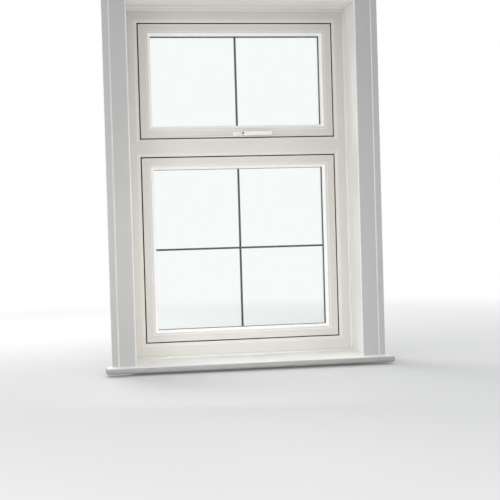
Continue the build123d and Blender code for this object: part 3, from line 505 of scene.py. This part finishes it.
def domed_cap(name, centre):
    """A cap over a screw: a shallow dome facing the room, with a short skirt behind it."""
    rows = [(CAP_RADIUS, CAP_SKIRT), (CAP_RADIUS, 0.0)]
    for step in range(1, CAP_RINGS):
        angle = radians(90) * step / CAP_RINGS
        rows.append((CAP_RADIUS * cos(angle), -CAP_HEIGHT * sin(angle)))
    turns = [radians(360) * k / CAP_SIDES for k in range(CAP_SIDES)]
    points = [
        (centre.x + radius * cos(turn), centre.y + depth, centre.z + radius * sin(turn))
        for radius, depth in rows for turn in turns
    ]
    points.append((centre.x, centre.y + CAP_SKIRT, centre.z))
    points.append((centre.x, centre.y - CAP_HEIGHT, centre.z))
    back, front = len(points) - 2, len(points) - 1
    faces = []
    for row in range(len(rows) - 1):
        for k in range(CAP_SIDES):
            here, beside = row * CAP_SIDES + k, row * CAP_SIDES + (k + 1) % CAP_SIDES
            faces.append((here, beside, beside + CAP_SIDES, here + CAP_SIDES))
    last = (len(rows) - 1) * CAP_SIDES
    for k in range(CAP_SIDES):
        beside = (k + 1) % CAP_SIDES
        faces.append((back, beside, k))
        faces.append((front, last + k, last + beside))
    cap = placed(name, points, faces, handle_coat)
    for face in cap.data.polygons:
        face.use_smooth = True
    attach(cap, "fanlight")


screw_level = (screw_low.z + screw_high.z) / 2
for name, across in (
    ("left_screw_cap", screw_low.x + SCREW_HEAD_RADIUS),
    ("right_screw_cap", screw_high.x - SCREW_HEAD_RADIUS),
):
    domed_cap(name, Vector((across, base_low.y, screw_level)))


# Floor: plain and pale under the cill, fading to the backdrop's white with distance
def floor_finish():
    n = Finish("floor")
    tone = n.ramp(n.noise(1.5), ((0.3, shade(FLOOR_GREY, 0.985)), (0.7, FLOOR_GREY)))
    n.set(Base_Color=tone, Roughness=0.9)
    distance = n.new("VectorMath", operation="LENGTH")
    n.link(n.place, distance.inputs[0])
    far = n.levels(distance.outputs["Value"], FADE_START, FADE_END, FADE_LEAST, 1)
    plain = n.new("Emission").outputs["Emission"]
    n.blend(n.math("MULTIPLY", far, n.seen()), n.shader.outputs["BSDF"], plain, "Material Output")
    return n.material


reach = FLOOR_SIZE / 2
floor_corners = [(-reach, -reach, 0), (reach, -reach, 0), (reach, reach, 0), (-reach, reach, 0)]
placed("floor", floor_corners, [(0, 1, 2, 3)], floor_finish())

# World: a soft light on the window, and white where the camera sees it
world = bpy.data.worlds.new("studio")
scene.world = world
world.use_nodes = True
sky = Nodes(world.node_tree)
lighting = sky.tree.nodes["Background"]
backdrop = sky.new("Background")
for node, colour, strength in (
    (lighting, ROOM_LIGHT, ROOM_STRENGTH),
    (backdrop, SEEN_WHITE, SEEN_STRENGTH),
):
    node.inputs["Color"].default_value = colour
    node.inputs["Strength"].default_value = strength
sky.blend(sky.seen(), lighting.outputs["Background"], backdrop.outputs["Background"], "World Output")


def lamp(name, place, target, size, power, colour, mirrored=True, spread=180):
    """A round soft lamp. One that isn't mirrored lights the window without showing in its glass."""
    data = bpy.data.lights.new(name, "AREA")
    data.shape = "DISK"
    data.size = size
    data.energy = power
    data.spread = radians(spread)
    data.color = colour
    made = bpy.data.objects.new(name, data)
    made.location = place
    made.rotation_euler = (Vector(target) - Vector(place)).to_track_quat("-Z", "Y").to_euler()
    made.visible_glossy = mirrored
    made.visible_camera = mirrored
    made.visible_transmission = mirrored
    scene.collection.objects.link(made)


WARM, COOL, PLAIN = (1, 0.985, 0.96), (0.98, 0.985, 1), (1, 1, 1)
lamp("key", (-2.3, -3.2, 1.5), (0, 0, 0.4), size=2.2, power=29, colour=WARM)
lamp("fill", (3.2, -3.0, 1.4), (0, 0, 0.5), size=2.6, power=25, colour=COOL)
lamp(
    "low_fill", (-0.1, -2.6, 0.6), (0, 0, 0.12),
    size=0.8, power=1.5, colour=(1, 0.985, 0.97), mirrored=False, spread=50,
)
lamp(
    "up_fill", (-0.3, -1.5, 0.5), (0, -0.1, 1.55),
    size=0.8, power=5.5, colour=(1, 0.97, 0.95), mirrored=False,
)
lamp(
    "daylight", (-1.3, 2.4, 2.3), (0.1, -0.15, 0.3),
    size=2.2, power=80, colour=PLAIN, mirrored=False,
)

# Camera: the rows of its turn are its right, down and forward in the world
turn = (
    Matrix(((cos(ROLL), -sin(ROLL), 0), (sin(ROLL), cos(ROLL), 0), (0, 0, 1)))
    @ Matrix(((1, 0, 0), (0, cos(PITCH), -sin(PITCH)), (0, sin(PITCH), cos(PITCH))))
    @ Matrix(((cos(YAW), 0, sin(YAW)), (0, 1, 0), (-sin(YAW), 0, cos(YAW))))
    @ Matrix(((1, 0, 0), (0, 0, -1), (0, 1, 0)))
)
right, down, forward = (Vector(row) for row in turn)
camera_axes = Matrix((right, -down, -forward)).transposed().to_4x4()
camera_data = bpy.data.cameras.new("camera")
camera_data.sensor_width = SENSOR_WIDTH
camera_data.lens = SENSOR_WIDTH * FOCAL_PIXELS / PICTURE_PIXELS
camera_data.clip_end = FARTHEST
camera = bpy.data.objects.new("camera", camera_data)
camera.matrix_world = Matrix.Translation(CAMERA_PLACE) @ camera_axes
scene.collection.objects.link(camera)
scene.camera = camera
